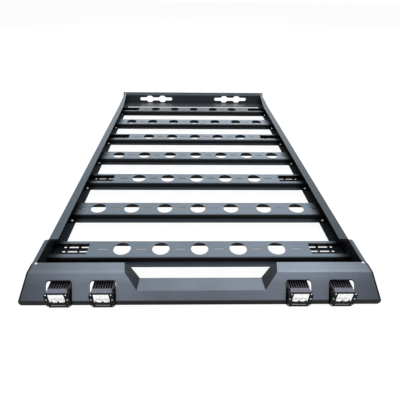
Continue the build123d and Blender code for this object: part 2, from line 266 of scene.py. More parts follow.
# %% [markdown]
# ## The powder coat
#
# All the sheet metal is coated in fine textured black powder. Such a coat is made of tiny beads that
# melted together. Its faces that look up are painted blue-grey, which is painted light from above, while
# upright faces are painted nearly black, which is painted shade. The colour is taken from a ramp along the
# surface's own upward direction, read from the mesh and not from the camera, so it stays put in every view.
# Slow noise gives the slight clouding of a sprayed coat, and fast noise gives the beads their bump and
# their uneven gloss.
#
# One function lays the colour and one adds the grain. Between the two, each part's own coat can still be
# given painted shade, for example where it lies in a corner that hardly any light reaches.

# %% Define the powder coat
# The three colours are painted light and shade: lit on faces that look up, shaded on upright faces.
COAT_SHADED_UPRIGHT = (0.009, 0.010, 0.012)
COAT_HALF_LIT_SLOPE = (0.125, 0.145, 0.170)
COAT_LIT_UP = (0.124, 0.160, 0.196)
COAT_STOPS = (0.15, 0.58, 0.98)
COAT_TINT = (0.97, 0.98, 1.0, 1.0)
CLOUD_SCALE = 7.0
BEAD_SCALE = 950.0
BEAD_DEPTH = 0.3 * MM


def coat_colour_with_painted_light(tree, facing, upright=COAT_SHADED_UPRIGHT, slope=COAT_HALF_LIT_SLOPE, up=COAT_LIT_UP):
    """The coat's colour by how far a face looks up: painted light on upward faces, painted shade on upright
    ones.
    """
    return ramp(tree, facing["Z"], list(zip(COAT_STOPS, (upright, slope, up))))


def coat_grain(tree, shader, spot, colour, gloss=0.2):
    """Adds clouds, beads and gloss to a coat's colour."""
    clouds = fade(tree, noise(tree, spot, CLOUD_SCALE, 4.0), MOST_OF_NOISE, (0.92, 1.08))
    beads = noise(tree, spot, BEAD_SCALE, 3.0, 0.7)
    speckle = fade(tree, beads, (0.25, 0.75), (0.82, 1.18))
    roughness = fade(tree, beads, MOST_OF_NOISE, (0.38, 0.5))
    normal = bump(tree, beads, 0.15, BEAD_DEPTH)
    feed(tree, shader, Base_Color=shade(tree, colour, clouds, speckle), Roughness=roughness, Normal=normal)
    shader.inputs["Specular IOR Level"].default_value = gloss
    shader.inputs["Specular Tint"].default_value = COAT_TINT


print("coat colours:", COAT_SHADED_UPRIGHT, COAT_HALF_LIT_SLOPE, COAT_LIT_UP)

# %% [markdown]
# ## The crossbars' coat
#
# The crossbars run under the rails' top flanges, where the decks sink into deep shade within a few
# centimetres. Their lips lie low between the bars, and the inside of their channels, seen through the
# holes, is black. The last deck lies in the shade of the rear panel. Soft studio light alone leaves these
# places too pale, so they are darkened in the coat. The channels repeat with the bars, so a remainder of
# the place along Y, divided by the bars' pitch, tells how far a point is from the middle of its own bar.

# %% Make the crossbars' coat
LOW_HEIGHTS = (37 * MM, 45 * MM)
LIP_PLACES = (-0.9, 0.5)
LIP_SHARES = (0.30, 0.13)
END_PLACES = (half_width - 76 * MM, half_width - 28 * MM)
END_SHARE = 0.03
DECK_PLACES = (-0.3, 0.3)
DECK_SHARES = (0.97, 1.14)
LAST_DECK_PLACES = (last_bar - 52 * MM, last_bar - 2 * MM)
LAST_DECK_SHARE = 0.4
CHANNEL_PLACES = (half_bar - 2 * MM, half_bar - 1 * MM)
CHANNEL_SHARE = 0.05

bar_coat, tree, shader = new_material("crossbar_powder_coat")
spot, place, facing = read_surface(tree)
lip_share = fade(tree, place["Y"], LIP_PLACES, LIP_SHARES)
low = fade(tree, place["Z"], LOW_HEIGHTS, (lip_share, 1.0))
ends = fade(tree, math_node(tree, "ABSOLUTE", place["X"]), END_PLACES, (1.0, END_SHARE))
# Painted light: the decks are painted lighter towards the right, as if lit from that side.
sunny = fade(tree, place["X"], DECK_PLACES, DECK_SHARES)
last_deck = fade(tree, place["Y"], LAST_DECK_PLACES, (1.0, LAST_DECK_SHARE))
behind_panel = fade(tree, facing["Z"], (0.5, 0.9), (1.0, last_deck))
from_first = minus(tree, place["Y"], bar_one + half_bar - bar_pitch / 2)
along_pitch = math_node(tree, "FLOORED_MODULO", from_first, bar_pitch)
off_bar = math_node(tree, "ABSOLUTE", minus(tree, along_pitch, bar_pitch / 2))
in_channel = fade(tree, off_bar, CHANNEL_PLACES, (CHANNEL_SHARE, 1.0))
inside = fade(tree, facing["Z"], (0.5, 0.6), (in_channel, 1.0))
colour = shade(tree, coat_colour_with_painted_light(tree, facing), low, ends, sunny, behind_panel, inside)
coat_grain(tree, shader, spot, colour, 0.18)
print("crossbar coat has", len(tree.nodes), "nodes")

# %% [markdown]
# ## The plainer coats
#
# The mounting plates lie at the bottom of the channels, and their coat is painted nearly black as painted
# shade. The rails, the side plates, the rear panel and the lamps' brackets need less work than the
# crossbars. Each has the standard coat, made darker or lighter by one share for its upright faces and one
# for those that look up, with painted shade by one more share for what lies low. Light from one side makes
# one rail paler than the other, so two more shares paint that light in and tell left from right.

# %% Make the plainer coats
PLATE_SHADE_SHARE = 0.12
PLAIN_PLACES = (-0.5, 0.5)

plate_coat, tree, shader = new_material("mounting_plate_coat")
spot, _, facing = read_surface(tree)
# Painted shade: the plates' upward faces are darkened to nearly black.
coat_grain(tree, shader, spot, coat_colour_with_painted_light(tree, facing, up=scaled(COAT_LIT_UP, PLATE_SHADE_SHARE)))


def plain_coat(name, upright_share, up_share, low_share, side_shares=(1.0, 1.0)):
    """A coat with its own shares for upright, upper and low faces, and for the left and right sides; the
    low share is painted shade and the side shares are painted side light.
    """
    material, tree, shader = new_material(name)
    spot, place, facing = read_surface(tree)
    up = scaled(COAT_LIT_UP, up_share)
    low = fade(tree, place["Z"], LOW_HEIGHTS, (low_share, 1.0))
    sides = fade(tree, place["X"], PLAIN_PLACES, side_shares)
    colour = coat_colour_with_painted_light(tree, facing, scaled(COAT_SHADED_UPRIGHT, upright_share), up, up)
    coat_grain(tree, shader, spot, shade(tree, colour, low, sides), 0.1)
    return material


# Painted light and shade: the upright and up shares tune the coat's painted light, the side shares paint
# light from one side, and the low shares paint shade.
rail_coat = plain_coat("side_rail_powder_coat", 1.0, 0.54, 0.3, (1.22, 0.82))
side_plate_coat = plain_coat("side_plate_powder_coat", 0.6, 0.64, 0.3, (1.0, 1.12))
panel_coat = plain_coat("rear_panel_powder_coat", 5.0, 0.44, 0.5)
bracket_coat = plain_coat("bracket_black_coat", 0.2, 0.05, 1.0)
print("plain coats:", rail_coat.name, side_plate_coat.name, panel_coat.name, bracket_coat.name)

# %% [markdown]
# ## Finding the parts of the fairing
#
# The fairing is one sheet, but it has a level wing on each side, a lower shelf between them, a slope down
# to the nose, and slanted facets beside the shelf. To shade them one by one, the coat needs masks, which
# are grey values that are one on a part and zero elsewhere. Level and slanted faces are told apart by how
# far they look up, and the wing from the shelf by its height. Both ends of the sheet are folded down along
# a straight line in X and Z, so the distance from that line finds the fold.

# %% Find the fairing's parts
FAIRING_UP = (0.201, 0.238, 0.288)
FAIRING_SLOPE = (0.222, 0.256, 0.318)
WING_HEIGHTS = (70 * MM, 90 * MM)
FLARE_HEIGHTS = (23 * MM, fairing_high.z)
FLARE_PLACES = (fairing_high.x, half_width + 14 * MM)

fairing_coat, tree, shader = new_material("fairing_powder_coat")
spot, place, facing = read_surface(tree)
off_middle = math_node(tree, "ABSOLUTE", place["X"])
sideways = math_node(tree, "ABSOLUTE", facing["X"])
level = fade(tree, facing["Z"], (0.9, 0.98), (0.0, 1.0))
slanted = fade(tree, facing["Z"], (0.65, 0.9), (1.0, 0.0))
wing = fade(tree, place["Z"], WING_HEIGHTS, (0.0, 1.0))
from_end = minus(tree, fade(tree, place["Z"], FLARE_HEIGHTS, FLARE_PLACES), off_middle)
colour = coat_colour_with_painted_light(tree, facing, slope=FAIRING_SLOPE, up=FAIRING_UP)
print("fairing masks made")

# %% [markdown]
# ## The fairing's coat
#
# The fairing is the piece that one looks at, and its light and shade are painted into its coat. Its bend
# gets a painted highlight streak, and the slope below it is painted bright at the top and dimmer towards
# the lip. The lip, which looks at the road, is painted almost black as painted shade. The facets of the
# recess, the folded edge at both ends, the shelf, the middle of the slope and both ends of the sheet are
# painted darker as painted shade, and the level faces are painted lighter towards the right as painted
# light from that side. The masks limit each painted shade to its own part of the sheet.

# %% Make the fairing's coat
BEND_REACH = 116.8 * MM
NOSE_REACH = 173.8 * MM
FOLD_BAND = (4.9 * MM, 7 * MM)
bend = bar_one - BEND_REACH
nose = bar_one - NOSE_REACH


def only_where(tree, mask, share):
    """Keeps a share where the mask is one and gives one elsewhere."""
    return math_node(tree, "ADD", times(tree, minus(tree, share, 1.0), mask), 1.0)


# Each share below is painted light or painted shade on the fairing's coat.
lip = fade(tree, place["Z"], (21 * MM, 27 * MM), (0.05, 1.0))
ends = fade(tree, off_middle, (0.40, 0.60), (1.0, 0.5))
streak = only_where(tree, wing, fade(tree, place["Y"], (bend + 2 * MM, bend + 14 * MM), (1.24, 1.0)))
sunny = only_where(tree, level, fade(tree, place["X"], (-0.4, 0.4), (0.86, 1.25)))
shelf = only_where(tree, level, fade(tree, wing, ALL, (0.72, 1.0)))
slope = only_where(tree, slanted, fade(tree, place["Y"], (nose, bend), (0.89, 0.98)))
middle = only_where(tree, slanted, fade(tree, off_middle, (0.15, 0.26), (0.80, 1.0)))
facets = fade(tree, sideways, (0.2, 0.5), (1.0, 0.14))
fold = fade(tree, from_end, FOLD_BAND, (0.06, 1.0))
colour = shade(tree, colour, lip, ends, streak, sunny, shelf, slope, middle, facets, fold)
coat_grain(tree, shader, spot, colour, 0.15)
print("fairing coat has", len(tree.nodes), "nodes")

# %% [markdown]
# ## The bezels' finish
#
# The bezel is moulded in satin black. The narrow ridge on its chin has its upper side painted grey, which
# is a painted highlight of light from above. Both are the same kind of finish with other numbers, so one
# function
# makes them: a colour that is painted lighter where the surface looks up, as painted light, and a fine
# grain for bump and gloss.

# %% Make the bezels' and the ridges' finish


def satin(name, upright, up, roughness, grain):
    """A satin finish whose upward faces are painted lighter as painted light, with a fine grain."""
    material, tree, shader = new_material(name)
    spot, _, facing = read_surface(tree)
    grains = noise(tree, spot, grain, 3.0)
    colour = ramp(tree, facing["Z"], [(0.2, upright), (0.95, up)])
    colour = shade(tree, colour, fade(tree, grains, MOST_OF_NOISE, (0.85, 1.15)))
    gloss = fade(tree, grains, MOST_OF_NOISE, roughness)
    feed(tree, shader, Base_Color=colour, Roughness=gloss, Normal=bump(tree, grains, 0.2, 0.2 * MM))
    return material, shader


bezel_black, shader = satin(
    "satin_black_bezel", (0.004, 0.004, 0.005), (0.012, 0.012, 0.014), (0.32, 0.45), 800.0
)
shader.inputs["Specular IOR Level"].default_value = 0.08
# Painted highlight: the ridge's upper faces are painted light grey.
ridge_grey, _ = satin("ridge_painted_highlight", (0.02, 0.02, 0.022), (0.55, 0.55, 0.57), (0.3, 0.45), 700.0)
print("satin finishes:", bezel_black.name, ridge_grey.name)

# %% [markdown]
# ## The finned casting
#
# A lamp housing is die-cast aluminium with a thin black finish and the mottled skin of a casting. Between
# the fins it is painted nearly black as painted shade, and only their crests and the collar in front of
# them are painted light. The crests are also painted dimmer towards the back, as painted shade where they
# dive under the fairing. Height and distance along Y tell these places apart.

# %% Make the casting's finish
CAST_UPRIGHT = (0.003, 0.003, 0.005)
CAST_UP = (0.180, 0.182, 0.235)
CREST_HEIGHTS = (64.0 * MM, 65.5 * MM)
HOUSING_PLACES = (-1.040, -0.996)
COLLAR_LIGHT = (1.0, 1.0, 1.0)
CREST_LIGHT = (0.56, 0.54, 0.50)
BACK_LIGHT = (0.10, 0.10, 0.10)

casting, tree, shader = new_material("black_cast_aluminium")
spot, place, facing = read_surface(tree)
# Painted light and shade: lit upward faces, shade between the fins and under the fairing.
colour = ramp(tree, facing["Z"], [(0.3, CAST_UPRIGHT), (0.95, CAST_UP)])
crests = fade(tree, place["Z"], CREST_HEIGHTS, (0.005, 1.0))
grains = noise(tree, spot, 330.0, 4.0, 0.65)
mottled = fade(tree, grains, MOST_OF_NOISE, (0.35, 1.6))
backwards = fade(tree, place["Y"], HOUSING_PLACES, (0.0, 1.0))
dimming = ramp(tree, backwards, [(0.0, COLLAR_LIGHT), (0.08, CREST_LIGHT), (1.0, BACK_LIGHT)])
colour = shade(tree, colour, crests, mottled, dimming)
gloss = fade(tree, grains, MOST_OF_NOISE, (0.42, 0.55))
feed(tree, shader, Base_Color=colour, Roughness=gloss, Normal=bump(tree, grains, 0.2, 0.3 * MM))
shader.inputs["Specular IOR Level"].default_value = 0.05
print("casting made")

# %% [markdown]
# ## Steel and mirrors
#
# The bright bolts are zinc plated, the lamps' screws are stainless, and the other bolts are blackened. The
# reflector is plastic with a vapour-coated mirror on it. All are metals with dull patches, so one function
# makes them from a colour and a range of roughness. The bright ones are set below full metal, which keeps
# them pale where they have nothing bright to mirror. The mirror also has a slight painted glow, though the
# lamps are not lit, so that it looks as bright as a reflector deep in its recess.

# %% Make the steels and the mirror
MIRROR_PAINTED_GLOW = 0.22


def bright_metal(name, colour, roughness, metallic=1.0):
    """Bare or plated metal with dull patches."""
    material, tree, shader = new_material(name)
    patches = noise(tree, read_spot(tree), 260.0, 4.0)
    colours = ramp(tree, patches, list(zip(MOST_OF_NOISE, (scaled(colour, 0.8), colour))))
    gloss = fade(tree, patches, MOST_OF_NOISE, roughness)
    feed(tree, shader, Base_Color=colours, Roughness=gloss, Normal=bump(tree, patches, 0.1, 0.1 * MM))
    shader.inputs["Metallic"].default_value = metallic
    return material, shader


zinc, _ = bright_metal("zinc_plated_steel", (0.94, 0.95, 0.96), (0.25, 0.42), 0.5)
stainless, _ = bright_metal("stainless_steel", (0.90, 0.90, 0.90), (0.2, 0.35), 0.7)
black_steel, _ = bright_metal("black_oxide_steel", (0.03, 0.03, 0.033), (0.35, 0.5))
mirror, shader = bright_metal("vapour_coated_mirror", (0.99, 0.99, 0.99), (0.3, 0.4), 0.75)
# Painted glow: the mirror emits a little light though it is no lamp.
shader.inputs["Emission Color"].default_value = (1.0, 1.0, 1.0, 1.0)
shader.inputs["Emission Strength"].default_value = MIRROR_PAINTED_GLOW
print("metals:", zinc.name, stainless.name, black_steel.name, mirror.name)

# %% [markdown]
# ## Lens and light chips
#
# The lens is clear polycarbonate. Light has to reach the reflector behind it, and a see-through alpha does
# that with far fewer samples than real refraction in a flat pane, so alpha is what is used here. A light
# chip is pale yellow phosphor with a trace of dust.

# %% Make the lens and the phosphor
lens_clear, tree, shader = new_material("clear_lens")
haze = noise(tree, read_spot(tree), 90.0, 3.0)
colour = ramp(tree, haze, list(zip(MOST_OF_NOISE, ((0.88, 0.91, 0.94), (0.97, 0.98, 1.0)))))
feed(tree, shader, Base_Color=colour, Roughness=fade(tree, haze, MOST_OF_NOISE, (0.03, 0.08)))
shader.inputs["Alpha"].default_value = 0.06
shader.inputs["IOR"].default_value = 1.58
lens_clear.surface_render_method = "BLENDED"

phosphor, tree, shader = new_material("light_chip_phosphor")
dust = noise(tree, read_spot(tree), 1400.0, 2.0)
colour = ramp(tree, dust, list(zip(MOST_OF_NOISE, ((0.86, 0.80, 0.50), (0.95, 0.90, 0.66)))))
feed(tree, shader, Base_Color=colour, Roughness=fade(tree, dust, MOST_OF_NOISE, (0.3, 0.5)))
print("lamp materials:", lens_clear.name, phosphor.name)

# %% [markdown]
# ## Dressing the CAD parts
#
# The shapes of the CAD parts are right, so they keep their meshes and only get a better finish. The start
# of a sheet part's name tells which coat it gets, and the end of a lamp part's name tells its finish.

# %% Give each CAD part its finish
SHEET_FINISHES = {
    "crossbar": bar_coat,
    "mounting_plate": plate_coat,
    "side_rail": rail_coat,
    "front_side_plate": side_plate_coat,
    "front_fairing": fairing_coat,
    "rear_panel": panel_coat,
}
LAMP_FINISHES = {"housing": casting, "bezel": bezel_black, "lens": lens_clear, "bracket": bracket_coat}

for name, part in parts.items():
    starts = [finish for start, finish in SHEET_FINISHES.items() if name.startswith(start)]
    finish = starts[0] if starts else LAMP_FINISHES[name.split("_")[-1]]
    part.data.materials.clear()
    part.data.materials.append(finish)
    print(name, "->", finish.name)

# %% [markdown]
# ## Helpers for geometry trees
#
# A Geometry Nodes tree makes one shape and repeats it. Both trees below get points, each with a vector that
# is called the aim and tells which way the shape on it looks. So both start with the same kinds of inputs
# and end in the same way: a copy on every point, copies made real, materials set.

# %% Define the geometry helpers


def new_tree(name, sizes, materials):
    """A geometry tree with named inputs for sizes and materials, and the sockets of these inputs."""
    tree = bpy.data.node_groups.new(name, "GeometryNodeTree")
    new_socket = tree.interface.new_socket
    new_socket(name="Geometry", in_out="INPUT", socket_type="NodeSocketGeometry")
    new_socket(name="Geometry", in_out="OUTPUT", socket_type="NodeSocketGeometry")
    for label, size in sizes.items():
        new_socket(name=label, in_out="INPUT", socket_type="NodeSocketFloat").default_value = size
    for label in materials:
        new_socket(name=label, in_out="INPUT", socket_type="NodeSocketMaterial")
    return tree, add_node(tree, "NodeGroupInput").outputs


def upwards(tree, height):
    """A vector that points up by a height."""
    return add_node(tree, "ShaderNodeCombineXYZ", {"Z": height}).outputs["Vector"]


def raised(tree, shape, height):
    """Moves a shape up by a height."""
    values = {"Geometry": shape, "Translation": upwards(tree, height)}
    return add_node(tree, "GeometryNodeTransform", values).outputs["Geometry"]


def joined(tree, *shapes):
    """Puts shapes together in one mesh."""
    join = add_node(tree, "GeometryNodeJoinGeometry")
    for shape in shapes:
        tree.links.new(shape, join.inputs["Geometry"])
    return join.outputs["Geometry"]


def welded(tree, shape, distance):
    """Merges corners that lie closer together than a distance."""
    values = {"Geometry": shape, "Distance": distance}
    return add_node(tree, "GeometryNodeMergeByDistance", values).outputs["Geometry"]


def on_every_point(tree, points, shape):
    """Puts a real copy of a shape on every point, with its Z axis along the point's aim."""
    aim = add_node(tree, "GeometryNodeInputNamedAttribute", {"Name": "aim"}, data_type="FLOAT_VECTOR")
    values = {"Vector": aim.outputs["Attribute"]}
    turn = add_node(tree, "FunctionNodeAlignRotationToVector", values, axis="Z")
    values = {"Points": points, "Instance": shape, "Rotation": turn.outputs["Rotation"]}
    copies = add_node(tree, "GeometryNodeInstanceOnPoints", values).outputs["Instances"]
    return add_node(tree, "GeometryNodeRealizeInstances", {"Geometry": copies}).outputs["Geometry"]


def set_material(tree, shape, material, where=True):
    """Gives a shape a material, everywhere or only on some faces."""
    values = {"Geometry": shape, "Material": material, "Selection": where}
    return add_node(tree, "GeometryNodeSetMaterial", values).outputs["Geometry"]


print("geometry helpers ready")

# %% [markdown]
# ## Bolts and screws
#
# The rack is put together with button head bolts: a plain washer, a low domed head and a hexagonal socket.
# They repeat dozens of times, so one Geometry Nodes tree makes them. It builds the washer from a cylinder
# and the head from two blunt cones, and cuts the socket out of the head with a six-sided cylinder. The
# sizes are inputs, so that the same tree also makes the lamps' small screws.

# %% Build the bolt tree
ROUND_STEPS = 24
SHOULDER_SHARE = 0.92
CROWN_SHARE = 0.62

BOLT_SIZES = {
    "Washer Radius": 8 * MM,
    "Washer Height": 1.2 * MM,
    "Head Radius": 6 * MM,
    "Head Height": 3.3 * MM,
    "Socket Radius": 2.6 * MM,
}
bolt_tree, given = new_tree("button_head_bolt", BOLT_SIZES, ["Material"])


def cylinder(tree, steps, radius, height):
    """An upright cylinder around the origin."""
    values = {"Vertices": steps, "Radius": radius, "Depth": height}
    return add_node(tree, "GeometryNodeMeshCylinder", values).outputs["Mesh"]


def blunt_cone(tree, low_radius, high_radius, height):
    """A cone with a flat top that stands on the origin."""
    radii = {"Radius Bottom": low_radius, "Radius Top": high_radius}
    values = {"Vertices": ROUND_STEPS, "Depth": height, **radii}
    return add_node(tree, "GeometryNodeMeshCone", values).outputs["Mesh"]


washer = cylinder(bolt_tree, ROUND_STEPS, given["Washer Radius"], given["Washer Height"])
washer = raised(bolt_tree, washer, times(bolt_tree, given["Washer Height"], 0.5))
shoulder = times(bolt_tree, given["Head Radius"], SHOULDER_SHARE)
crown = times(bolt_tree, given["Head Radius"], CROWN_SHARE)
half_head = times(bolt_tree, given["Head Height"], 0.5)
rim = blunt_cone(bolt_tree, given["Head Radius"], shoulder, half_head)
dome = raised(bolt_tree, blunt_cone(bolt_tree, shoulder, crown, half_head), half_head)
head = welded(bolt_tree, joined(bolt_tree, rim, dome), 1e-5)
key = cylinder(bolt_tree, 6, given["Socket Radius"], given["Head Height"])
key = raised(bolt_tree, key, given["Head Height"])
values = {0: head, 1: key}
cut = add_node(bolt_tree, "GeometryNodeMeshBoolean", values, operation="DIFFERENCE", solver="FLOAT")
bolt = joined(bolt_tree, washer, raised(bolt_tree, cut.outputs["Mesh"], given["Washer Height"]))
bolt = set_material(bolt_tree, on_every_point(bolt_tree, given["Geometry"], bolt), given["Material"])
add_node(bolt_tree, "NodeGroupOutput", {"Geometry": bolt})
print("bolt tree nodes:", len(bolt_tree.nodes))

# %% [markdown]
# ## From tree to mesh
#
# The renderer can use a live modifier, but a model that is exported needs plain meshes. So a piece is made
# in four moves: a mesh of bare points with the aim on each, the modifier with its inputs set, a copy of the
# evaluated result, and the modifier taken off again. Inputs are set by their identifiers, because names may
# repeat in a tree.

# %% Define how a piece is made from points


def as_piece(name, mesh):
    """Puts a finished mesh in the scene and lets it ride on the rack."""
    piece = bpy.data.objects.new(name, mesh)
    scene.collection.objects.link(piece)
    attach(piece, "root")
    print(name, len(mesh.polygons), "faces")


def grow(name, tree, spots, inputs):
    """Runs a tree on points at (place, aim) spots and keeps the result as a plain mesh."""
    seed = bpy.data.meshes.new(name + "_points")
    seed.from_pydata([tuple(place) for place, _ in spots], [], [])
    attribute = seed.attributes.new("aim", "FLOAT_VECTOR", "POINT")
    attribute.data.foreach_set("vector", [part for _, aim in spots for part in aim])
    holder = bpy.data.objects.new(name + "_holder", seed)
    scene.collection.objects.link(holder)
    modifier = holder.modifiers.new("grow", "NODES")
    modifier.node_group = tree
    for item in tree.interface.items_tree:
        if item.in_out == "INPUT" and item.name in inputs:
            modifier[item.identifier] = inputs[item.name]
    evaluated = holder.evaluated_get(bpy.context.evaluated_depsgraph_get())
    mesh = bpy.data.meshes.new_from_object(evaluated)
    mesh.name = name
    holder.modifiers.clear()
    bpy.data.objects.remove(holder)
    as_piece(name, mesh)


def bolts(name, spots, head_radius, material, washer=1.3):
    """Bolts at (place, aim) spots, sized by the radius of the head."""
    inputs = {
        "Washer Radius": head_radius * washer,
        "Washer Height": head_radius * 0.2,
        "Head Radius": head_radius,
        "Head Height": head_radius * 0.55,
        "Socket Radius": head_radius * 0.32,
        "Material": material,
    }
    grow(name, bolt_tree, spots, inputs)


UP = Vector((0, 0, 1))
FORWARDS = Vector((0, -1, 0))
OUTWARDS = Vector((1, 0, 0))
print("ready to place bolts")

# %% [markdown]
# ## Where the rack is bolted together
#
# Each crossbar stands on the lower flanges of the rails and is held there by a bolt through each end of
# both lips. The rear panel's floor strip is bolted down in the same way. One bright bolt holds each rear
# corner of the fairing to the side plate's flange, and four hold each side plate to its rail's web.

# %% Place the rack's bolts
BOLT_HEAD = 5 * MM
LIP_BOLT_X = half_width - 20 * MM
LIP_BOLT_FROM_WEB = 11.7 * MM
PANEL_BOLT_REACHES = (25 * MM, 80 * MM)
FAIRING_BOLT_HEAD = 3.6 * MM
FAIRING_BOLT_X = half_width - 2.5 * MM
FAIRING_BOLT_Y = bar_one - 73.4 * MM
SIDE_BOLT_REACH = 36 * MM
SIDE_BOLT_HEIGHTS = (48 * MM, 84 * MM)

spots = []
for low, high in bars:
    for side in SIDES:
        for y in (low.y + BAR_LIP - LIP_BOLT_FROM_WEB, high.y - BAR_LIP + LIP_BOLT_FROM_WEB):
            spots.append((Vector((side * LIP_BOLT_X, y, lip_top)), UP))
bolts("crossbar_bolts", spots, BOLT_HEAD, zinc)

spots = []
for side in SIDES:
    for reach in PANEL_BOLT_REACHES:
        spots.append((Vector((side * LIP_BOLT_X, panel_front + reach, lip_top)), UP))
bolts("rear_panel_bolts", spots, BOLT_HEAD, black_steel)

spots = [(Vector((side * FAIRING_BOLT_X, FAIRING_BOLT_Y, fairing_high.z)), UP) for side in SIDES]
bolts("fairing_corner_bolts", spots, FAIRING_BOLT_HEAD, zinc, 1.2)

spots = []
for side in SIDES:
    for y in (bar_one + SIDE_BOLT_REACH, bar_one - SIDE_BOLT_REACH):
        for z in SIDE_BOLT_HEIGHTS:
            spots.append((Vector((side * (half_width + SHEET), y, z)), side * OUTWARDS))
bolts("side_plate_bolts", spots, BOLT_HEAD, black_steel)

# %% [markdown]
# ## The lamps' reflectors
#
# Behind each lens lies a mirror with four round cups, two by two. The whole mirror is one surface whose
# depth follows a rule: inside a cup it falls off like a parabola, and outside the cups it stays level. A
# fine grid whose points are pushed back by that rule is the simplest way to make it. Around the lower half
# of the lower cups the real reflector is masked in black, so the faces there are marked before anything
# moves. The tree works on a sheet that lies flat, where Y is what will be upwards in the lamp.

# %% Shape the four cups
CUP_SPACING_X = 23.0 * MM
CUP_SPACING_Z = 19.5 * MM
REFLECTOR_SIZES = {
    "Width": 47 * MM,
    "Height": 40 * MM,
    "Cup Radius": 11.2 * MM,
    "Cup Depth": 4 * MM,
    "Cup Spacing X": CUP_SPACING_X,
    "Cup Spacing Y": CUP_SPACING_Z,
    "Wall": 1.2 * MM,
}
reflector_tree, given = new_tree("four_cup_reflector", REFLECTOR_SIZES, ["Material", "Mask Material"])
tree = reflector_tree
values = {"Size X": given["Width"], "Size Y": given["Height"], "Vertices X": 49, "Vertices Y": 41}
sheet = add_node(tree, "GeometryNodeMeshGrid", values).outputs["Mesh"]
point = split(tree, add_node(tree, "GeometryNodeInputPosition").outputs["Position"])


def squared_from_cup(tree, distance, spacing):
    """The square of the distance, along one axis, from the middle of the nearest cup."""
    away = minus(tree, math_node(tree, "ABSOLUTE", distance), times(tree, spacing, 0.5))
    return times(tree, away, away)


squares_x = squared_from_cup(tree, point["X"], given["Cup Spacing X"])
squares_y = squared_from_cup(tree, point["Y"], given["Cup Spacing Y"])
cup_square = times(tree, given["Cup Radius"], given["Cup Radius"])
share = math_node(tree, "DIVIDE", math_node(tree, "ADD", squares_x, squares_y), cup_square)
depth = times(tree, math_node(tree, "MAXIMUM", minus(tree, 1.0, share), 0.0), given["Cup Depth"])
below = math_node(tree, "LESS_THAN", point["Y"], times(tree, given["Cup Spacing Y"], -0.5))
masked = times(tree, below, math_node(tree, "GREATER_THAN", share, 1.0))
values = {"Geometry": sheet, "Name": "masked", "Value": masked}
marked = add_node(tree, "GeometryNodeStoreNamedAttribute", values, data_type="BOOLEAN", domain="FACE")
values = {"Geometry": marked.outputs["Geometry"], "Offset": upwards(tree, times(tree, depth, -1.0))}
cups = add_node(tree, "GeometryNodeSetPosition", values).outputs["Geometry"]
print("cups shaped with", len(tree.nodes), "nodes")

# %% [markdown]
# ### From cups to a closed tray
#
# A sheet without thickness is open at its rim. Pushing the whole sheet back by the wall's thickness makes
# the back and the rim, and the sheet itself, turned round, closes the front. The sheet has to be pushed as
# one region: pushed face by face, it would leave a wall inside between every two faces. The tree then puts
# a tray on every point, gives it the mirror's material and paints the marked faces black.

# %% Close the tray and repeat it
values = {
    "Mesh": cups,
    "Offset": upwards(tree, times(tree, given["Wall"], -1.0)),
    "Individual": False,
}
back = add_node(tree, "GeometryNodeExtrudeMesh", values).outputs["Mesh"]
front = add_node(tree, "GeometryNodeFlipFaces", {"Mesh": cups}).outputs["Mesh"]
tray = welded(tree, joined(tree, back, front), 1e-6)
tray = add_node(tree, "GeometryNodeFlipFaces", {"Mesh": tray}).outputs["Mesh"]
trays = on_every_point(tree, given["Geometry"], tray)
mark = add_node(tree, "GeometryNodeInputNamedAttribute", {"Name": "masked"}, data_type="BOOLEAN")
trays = set_material(tree, trays, given["Material"])
trays = set_material(tree, trays, given["Mask Material"], mark.outputs["Attribute"])
add_node(tree, "NodeGroupOutput", {"Geometry": trays})
print("reflector tree nodes:", len(tree.nodes))

# %% [markdown]
# ### A reflector behind each lens
#
# The rim of a tray all but touches the back of its lens. A gap of 0.3 mm keeps the two surfaces from
# fighting for the same place, which would show as flicker.

# %% Put a reflector behind each lens
RIM_BEHIND_LENS = 0.3 * MM
spots = []
for low, high in windows:
    middle = (low + high) / 2
    spots.append((Vector((middle.x, high.y + RIM_BEHIND_LENS, middle.z)), FORWARDS))
# The mirror's finish carries its painted glow.
finishes = {"Material": mirror, "Mask Material": bezel_black}
grow("lamp_reflectors", reflector_tree, spots, finishes)

# %% [markdown]
# ## Light chips
#
# A chip is a small square of pale yellow phosphor on the floor of its cup. A block with bevelled edges is
# enough at this size. This cell also defines two helpers that the last two lamp pieces need: one lays a
# block between two corners, and one turns a finished shape into a piece.

# %% Make the light chips
CHIP_SIZE = Vector((2.6 * MM, 1.2 * MM, 2.6 * MM))
CHIP_BEVEL = 0.35 * MM
CUP_FLOOR = RIM_BEHIND_LENS + 3.4 * MM


def lay_block(shape, low, high):
    """Adds a closed block between two corners."""
    size = Vector(high) - Vector(low)
    middle = (Vector(high) + Vector(low)) / 2
    for corner in bmesh.ops.create_cube(shape, size=1.0)["verts"]:
        corner.co = middle + Vector([corner.co[axis] * size[axis] for axis in range(3)])


def finish_shape(name, shape, material):
    """Turns all faces outwards and makes a piece of the shape."""
    bmesh.ops.recalc_face_normals(shape, faces=shape.faces[:])
    mesh = bpy.data.meshes.new(name)
    shape.to_mesh(mesh)
    shape.free()
    mesh.materials.append(material)
    as_piece(name, mesh)


shape = bmesh.new()
for low, high in windows:
    middle = (low + high) / 2
    for side in SIDES:
        for level in SIDES:
            x = middle.x + side * CUP_SPACING_X / 2
            z = middle.z + level * CUP_SPACING_Z / 2
            place = Vector((x, high.y + CUP_FLOOR, z))
            lay_block(shape, place - CHIP_SIZE / 2, place + CHIP_SIZE / 2)
bmesh.ops.bevel(shape, geom=shape.edges[:], offset=CHIP_BEVEL, segments=2, affect="EDGES")
finish_shape("lamp_light_chips", shape, phosphor)

# %% [markdown]
# ## The lamps' screws
#
# Six small screws hold each bezel: two at half height beside the lens and four near the corners. The
# bracket has a clamping bolt on each side of the lamp and one through its base.

